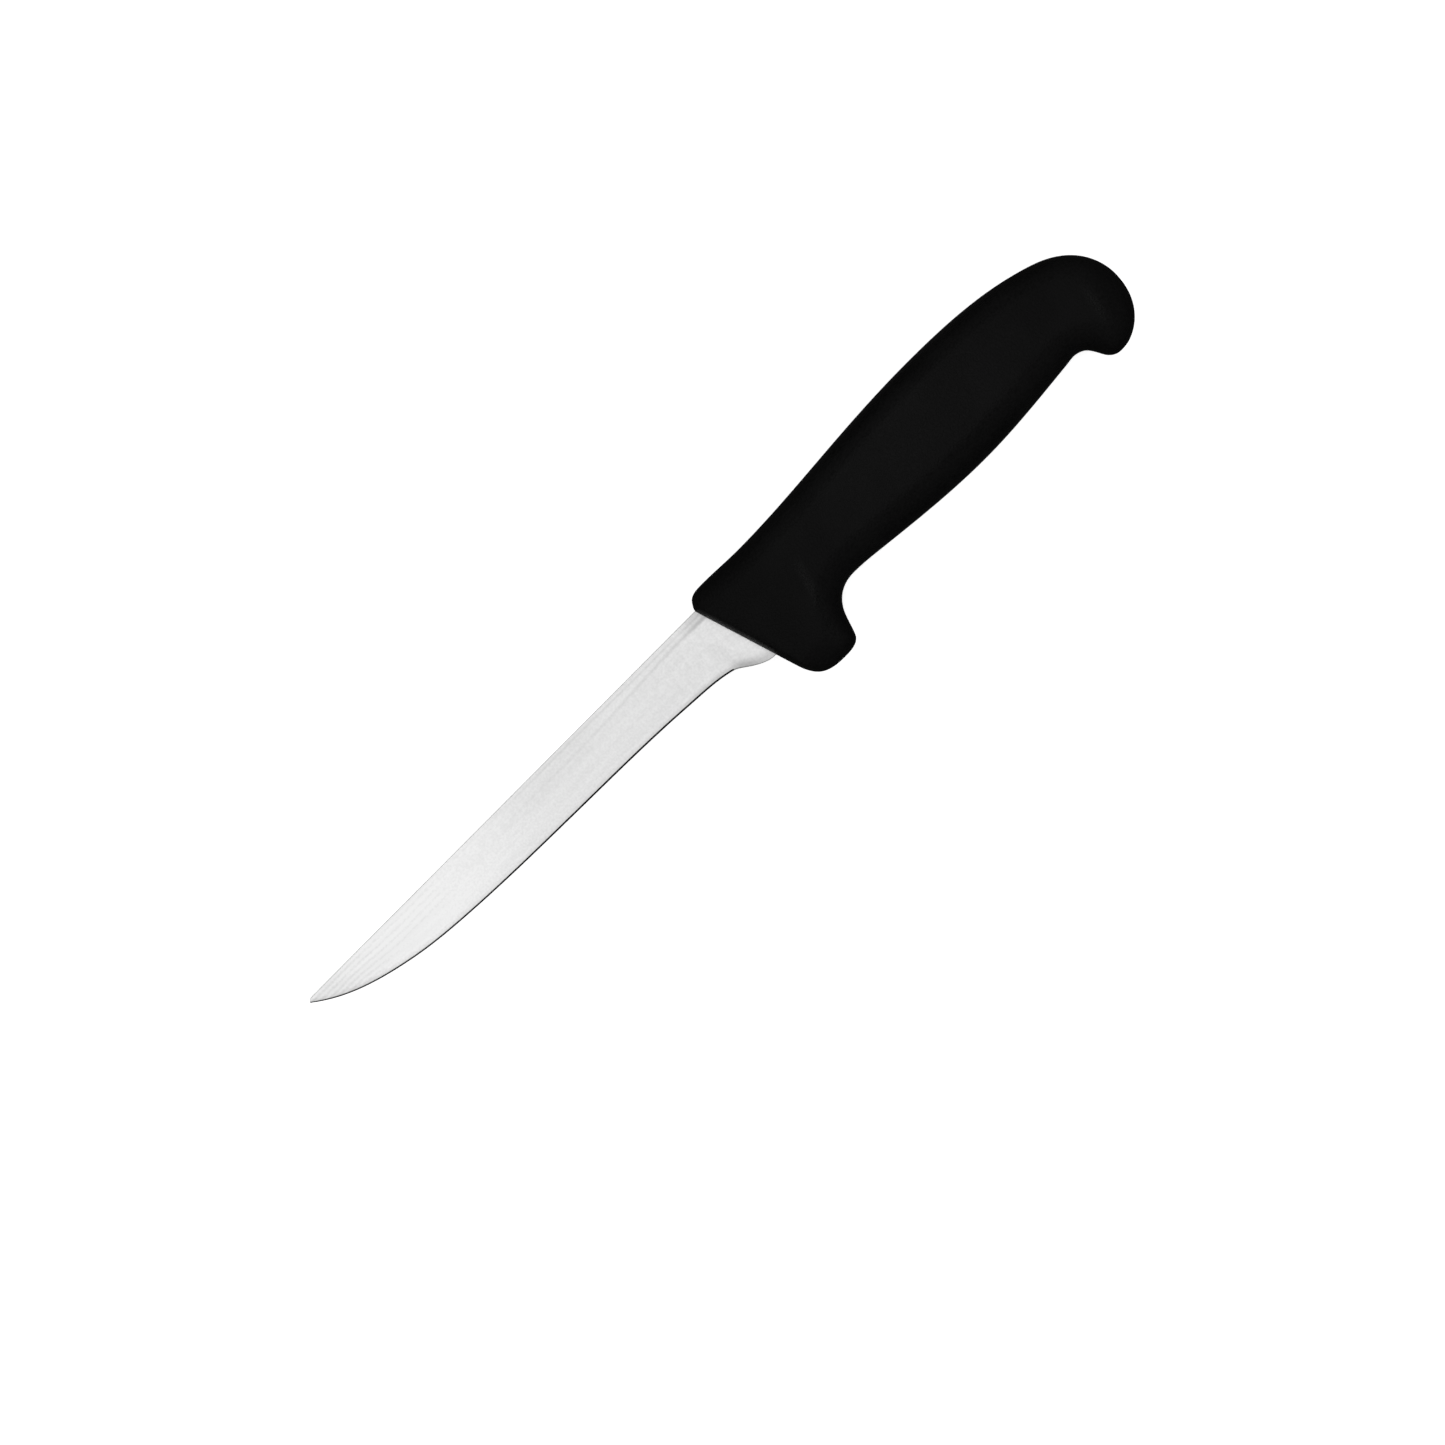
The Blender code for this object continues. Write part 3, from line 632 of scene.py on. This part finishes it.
class Nodes:
    """Short calls that add nodes to a material or a world and link them."""

    def __init__(self, owner, output):
        owner.use_nodes = True
        self.owner = owner
        self.tree = owner.node_tree
        self.output = self.tree.nodes[output]

    def connect(self, value, socket):
        """Links an output to the socket, or sets the socket to a plain value."""
        if isinstance(value, bpy.types.NodeSocket):
            self.tree.links.new(value, socket)
        else:
            socket.default_value = value

    def node(self, kind, **inputs):
        node = self.tree.nodes.new("ShaderNode" + kind)
        for name, value in inputs.items():
            self.connect(value, node.inputs[name.replace("_", " ")])
        return node

    def finish(self, **inputs):
        """Sets the sockets of the shader itself."""
        for name, value in inputs.items():
            self.connect(value, self.output.inputs[name.replace("_", " ")])
        return self.owner

    def object_place(self):
        return self.node("TexCoord").outputs["Object"]

    def place(self):
        """The x, y and z of the design frame."""
        return self.node("SeparateXYZ", Vector=self.object_place()).outputs

    def step(self, value, start, end, low=0.0, high=1.0):
        """low where the value is start, high where it is end, and smooth between them and beyond."""
        node = self.node("MapRange", Value=value, From_Min=start, From_Max=end, To_Min=low, To_Max=high)
        node.interpolation_type = "SMOOTHSTEP"
        return node.outputs["Result"]

    def math(self, operation, first, second=0.0):
        node = self.node("Math")
        node.operation = operation
        self.connect(first, node.inputs[0])
        self.connect(second, node.inputs[1])
        return node.outputs[0]

    def darken(self, amount):
        return self.math("SUBTRACT", 1.0, amount)

    def product(self, *factors):
        total = factors[0]
        for factor in factors[1:]:
            total = self.math("MULTIPLY", total, factor)
        return total

    def noise(self, where, scale, detail=2.0, roughness=0.5):
        """Noise from about 0 to 1, with its own scale along each axis."""
        stretched = self.node("Mapping", Vector=where, Scale=scale, Location=NOISE_ORIGIN).outputs["Vector"]
        node = self.node("TexNoise", Vector=stretched, Scale=1.0, Detail=detail, Roughness=roughness)
        return self.step(node.outputs["Fac"], 0.3, 0.7)

    def mix(self, factor, dark, light):
        node = self.node("Mix")
        node.data_type = "RGBA"
        self.connect(factor, node.inputs["Factor"])
        self.connect((*dark, 1.0), node.inputs["A"])
        self.connect((*light, 1.0), node.inputs["B"])
        return node.outputs["Result"]

    def bump(self, height, distance):
        return self.node("Bump", Height=height, Distance=distance).outputs["Normal"]


def new_material(name):
    return Nodes(bpy.data.materials.new(name), "Principled BSDF")


def streak(steel, distance, width, depth):
    """A factor that dips by depth on a line, and is 1 from width away."""
    dip = steel.step(steel.math("ABSOLUTE", distance), width, 0.0)
    return steel.darken(steel.math("MULTIPLY", dip, depth))


def grinding_marks(steel, grind, along, below_spine):
    """Lengthwise streaks and grain, cross brushing near the handle, and even stripes near the tip."""
    where = grind.outputs["Vector"]
    streaks = steel.noise(where, STREAK_SCALE, 2.0)
    grain = steel.noise(steel.object_place(), GRAIN_SCALE, 2.0)
    brushing = steel.noise(where, BRUSHING_SCALE, 2.0)
    brushing_depth = steel.step(along, *BRUSHING_DEPTH)

    turns = steel.math("DIVIDE", below_spine, steel.step(along, *STRIPE_PERIOD))
    wave = steel.math("COSINE", steel.math("MULTIPLY", turns, 2.0 * math.pi))
    stripe_depth = steel.step(along, *STRIPE_DEPTH)
    spine_half = steel.step(below_spine, *STRIPES_BELOW_SPINE)
    return steel.product(
        steel.darken(steel.math("MULTIPLY", streaks, STREAK_DEPTH)),
        steel.darken(steel.math("MULTIPLY", grain, GRAIN_DEPTH)),
        steel.darken(steel.math("MULTIPLY", brushing, brushing_depth)),
        steel.darken(steel.product(wave, stripe_depth, spine_half)),
    )


def spine_marks(steel, along, below_spine):
    """Two darker lines along the spine, the band between them near the handle, and a darker stretch on the
    spine's half.
    """
    lower_depth = steel.math(
        "ADD",
        steel.step(along, *LOWER_LINE_DEPTH_IN_MIDDLE),
        steel.step(along, *LOWER_LINE_DEPTH_AT_HANDLE),
    )
    upper_depth = steel.step(along, *UPPER_LINE_DEPTH)
    from_lower = steel.math("SUBTRACT", below_spine, steel.step(along, *LOWER_LINE))
    from_upper = steel.math("SUBTRACT", below_spine, steel.step(along, *UPPER_LINE))
    in_band = steel.step(below_spine, *BAND_BELOW_SPINE)
    band_depth = steel.step(along, *BAND_DEPTH)
    in_darker_stretch = steel.product(
        steel.step(below_spine, *DARKER_STRETCH_BELOW_SPINE),
        steel.step(along, *DARKER_STRETCH_FROM),
        steel.step(along, *DARKER_STRETCH_TO),
    )
    return steel.product(
        streak(steel, from_lower, LOWER_LINE_WIDTH, lower_depth),
        streak(steel, from_upper, UPPER_LINE_WIDTH, upper_depth),
        steel.darken(steel.math("MULTIPLY", in_band, band_depth)),
        steel.darken(steel.math("MULTIPLY", in_darker_stretch, DARKER_STRETCH_DEPTH)),
    )


def rolled_shade(steel, along, from_edge):
    """Painted shade on the rolled-off lower side: narrow along the edge, and wide and dark where the heel
    begins.
    """
    edge = steel.step(from_edge, *EDGE_SHADE, steel.step(along, *PAINTED_EDGE_SHADE_LEVEL), 1.0)
    heel = steel.step(from_edge, *HEEL_SHADE, steel.step(along, *PAINTED_HEEL_SHADE_LEVEL), 1.0)
    at_heel = steel.step(along, *HEEL_SHADE_SHARE)
    more = steel.math("SUBTRACT", heel, edge)
    return steel.math("ADD", edge, steel.math("MULTIPLY", more, at_heel))


def steel_material():
    """Satin belt-ground steel: lengthwise streaks that run together at the tip, and a painted shade line on
    the ground edge.
    """
    steel = new_material("satin_steel")
    grind = steel.node("Attribute")
    grind.attribute_name = "grind"
    along, _, from_edge = steel.node("SeparateXYZ", Vector=grind.outputs["Vector"]).outputs
    below_spine = steel.math("MULTIPLY", steel.place()["Y"], -1.0)
    scratches = steel.noise(grind.outputs["Vector"], SCRATCH_SCALE, 4.0, 0.6)
    # Painted shade line along the edge bevel
    on_painted_edge_line = steel.math("LESS_THAN", from_edge, steel.step(along, *PAINTED_EDGE_LINE_WIDTH))
    before_heel = steel.math("LESS_THAN", along, PAINTED_EDGE_LINE_END)
    # The tone holds painted light along the blade, painted shade on the lower side and a painted shade line
    # on the edge, over the steel's own marks
    tone = steel.product(
        steel.step(along, *PAINTED_LIGHT_ALONG_BLADE),
        steel.step(along, *PAINTED_LIGHT_AT_TIP),
        grinding_marks(steel, grind, along, below_spine),
        steel.step(scratches, 0.0, 1.0, 0.98, 1.0),
        spine_marks(steel, along, below_spine),
        rolled_shade(steel, along, from_edge),
        steel.darken(steel.product(on_painted_edge_line, before_heel, PAINTED_EDGE_LINE_DEPTH)),
    )
    return steel.finish(
        Metallic=1.0,
        Base_Color=steel.mix(tone, (0.0, 0.0, 0.0), (0.61, 0.61, 0.61)),
        Roughness=steel.step(scratches, 0.0, 1.0, 0.3, 0.36),
        Normal=steel.bump(scratches, SCRATCH_HEIGHT),
    )


def worn_crest(plastic, place, top, bottom):
    """1 on a line down the handle's side, from one (x, y) to another, where handling has polished it."""
    slope = (bottom[0] - top[0]) / (bottom[1] - top[1])
    across = plastic.math("SUBTRACT", place["X"], plastic.math("MULTIPLY", place["Y"], slope))
    distance = plastic.math("ABSOLUTE", plastic.math("SUBTRACT", across, top[0] - slope * top[1]))
    return plastic.product(
        plastic.step(distance, CREST_WIDTH, 0.0),
        plastic.step(place["Y"], bottom[1] - 1.0 * MM, bottom[1] + 2.0 * MM),
        plastic.step(place["Y"], top[1] + 1.0 * MM, top[1] - 5.0 * MM),
    )


def grip_material():
    """Black moulded plastic with a fine pebbled skin, which the parting line interrupts."""
    plastic = new_material("pebbled_plastic")
    where = plastic.object_place()
    place = plastic.place()
    pebbles = plastic.noise(where, PEBBLE_SCALE, 2.0)
    patches = plastic.noise(where, PATCH_SCALE, 2.0)
    tone = plastic.math(
        "ADD",
        plastic.math("MULTIPLY", pebbles, 0.7),
        plastic.math("MULTIPLY", patches, 0.3),
    )
    toward_middle = plastic.product(
        plastic.step(place["X"], 0.0, MIDDLE_X[0]),
        plastic.step(place["X"], HANDLE_LENGTH, MIDDLE_X[1]),
    )
    crests = plastic.math(
        "ADD",
        worn_crest(plastic, place, *GUARD_CREST),
        worn_crest(plastic, place, *POMMEL_CREST),
    )
    polish = plastic.math(
        "ADD",
        plastic.math("MULTIPLY", toward_middle, MIDDLE_POLISH),
        plastic.math("MULTIPLY", crests, CREST_POLISH),
    )
    from_parting = plastic.math("ABSOLUTE", place["Z"])
    skin = plastic.step(from_parting, 0.1 * MM, 0.3 * MM)
    ridge = plastic.step(from_parting, 0.25 * MM, 0.05 * MM)
    height = plastic.math("ADD", plastic.math("MULTIPLY", pebbles, skin), ridge)
    return plastic.finish(
        Base_Color=plastic.mix(tone, (0.0004, 0.0004, 0.0004), (0.004, 0.004, 0.004)),
        Roughness=plastic.math("SUBTRACT", plastic.step(pebbles, 0.0, 1.0, 0.45, 0.62), polish),
        Specular_IOR_Level=0.06,
        Normal=plastic.bump(height, PEBBLE_HEIGHT),
    )


def core_material():
    plastic = new_material("core_plastic")
    flow = plastic.noise(plastic.object_place(), (25.0, 90.0, 90.0), 3.0)
    return plastic.finish(
        Base_Color=plastic.mix(flow, (0.045, 0.045, 0.048), (0.07, 0.07, 0.074)),
        Roughness=plastic.step(flow, 0.0, 1.0, 0.4, 0.5),
    )


def floor_material():
    return new_material("pale_floor").finish(
        Base_Color=(0.9, 0.9, 0.9, 1.0),
        Roughness=0.9,
        Emission_Color=(1.0, 1.0, 1.0, 1.0),
        Emission_Strength=0.7,
    )


def backdrop_material():
    return new_material("pale_backdrop").finish(
        Base_Color=(0.0, 0.0, 0.0, 1.0),
        Specular_IOR_Level=0.0,
        Emission_Color=(1.0, 1.0, 1.0, 1.0),
        Emission_Strength=1.0,
    )


def dress(obj, material):
    obj.data.materials.clear()
    obj.data.materials.append(material)


# ---------------------------------------------------------------- pieces


def make_grip(steel_room):
    grip = grip_form()
    cut(grip, core_cutter())
    cut(grip, steel_room)
    grip.data.shade_smooth()
    grip.data.set_sharp_from_angle(angle=math.radians(GRIP_SHARP_ANGLE))
    dress(grip, grip_material())
    grip.location = ORIGIN
    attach(grip, BODY)
    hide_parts("handle_grip")


def hole_cutter(x):
    """A round bar through the tang, on the middle of its width."""
    line = edge_line()
    bar = bmesh.new()
    bmesh.ops.create_cone(
        bar,
        cap_ends=True,
        segments=64,
        radius1=TANG_HOLE_RADIUS,
        radius2=TANG_HOLE_RADIUS,
        depth=4.0 * STOCK_THICKNESS,
    )
    mesh = bpy.data.meshes.new("tang_hole")
    bar.to_mesh(mesh)
    bar.free()
    cutter = bpy.data.objects.new("tang_hole", mesh)
    bpy.context.scene.collection.objects.link(cutter)
    cutter.location = (x, (blade_top(x) + blade_bottom(x, line)) / 2.0, 0.0)
    return cutter


def make_blade():
    blade = steel_form("ground_blade", -BLADE_LENGTH, TANG_LENGTH, 0.0)
    for x in TANG_HOLES:
        cut(blade, hole_cutter(x))
    mark_grind(blade)
    blade.data.shade_smooth()
    blade.data.set_sharp_from_angle(angle=math.radians(BLADE_SHARP_ANGLE))
    dress(blade, steel_material())
    blade.location = ORIGIN
    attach(blade, BODY)
    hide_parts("blade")


def make_camera():
    camera = bpy.data.objects.new("camera", bpy.data.cameras.new("camera"))
    bpy.context.scene.collection.objects.link(camera)
    camera.data.lens = LENS
    camera.data.sensor_width = SENSOR
    height = ORIGIN.z + VIEW_WIDTH * LENS / SENSOR
    camera.location = (*VIEW_CENTRE, height)
    camera.rotation_euler = (0.0, 0.0, math.radians(-VIEW_TURN))
    bpy.context.scene.camera = camera


def stage_piece(name, material):
    """Makes the object just added a part of the set: the camera sees it, and it lights nothing."""
    piece = bpy.context.object
    piece.name = name
    piece.visible_diffuse = False
    piece.visible_glossy = False
    piece.visible_shadow = False
    dress(piece, material)


def make_set():
    bpy.ops.mesh.primitive_plane_add(size=FLOOR_SIZE)
    stage_piece("floor", floor_material())
    bpy.ops.mesh.primitive_uv_sphere_add(segments=64, ring_count=32, radius=BACKDROP_RADIUS)
    stage_piece("backdrop", backdrop_material())


def make_light(name, location, size, power):
    light = bpy.data.objects.new(name, bpy.data.lights.new(name, "AREA"))
    bpy.context.scene.collection.objects.link(light)
    light.data.size = size
    light.data.energy = power
    light.location = location
    light.rotation_euler = (-Vector(location)).to_track_quat("-Z", "Y").to_euler()


def make_studio():
    """A wide soft light overhead, in a room that is palest round the object and dark below it."""
    world = bpy.data.worlds.new("studio")
    bpy.context.scene.world = world
    room = Nodes(world, "Background")
    toward = room.node("SeparateXYZ", Vector=room.node("TexCoord").outputs["Generated"])
    height = toward.outputs["Z"]
    walls = room.step(height, *WALLS_BY_HEIGHT)
    ceiling = room.step(height, *CEILING_BY_HEIGHT)
    room.finish(Color=(1.0, 1.0, 1.0, 1.0), Strength=room.math("ADD", walls, ceiling))
    make_light("overhead", LIGHT_PLACE, LIGHT_SIZE, LIGHT_POWER)
    bpy.context.scene.view_settings.view_transform = "Standard"


make_camera()
make_studio()
make_set()
make_grip(steel_form("steel_room", SLOT_START, SLOT_END, SLOT_ROOM))
make_blade()
dress(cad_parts["handle_core"], core_material())
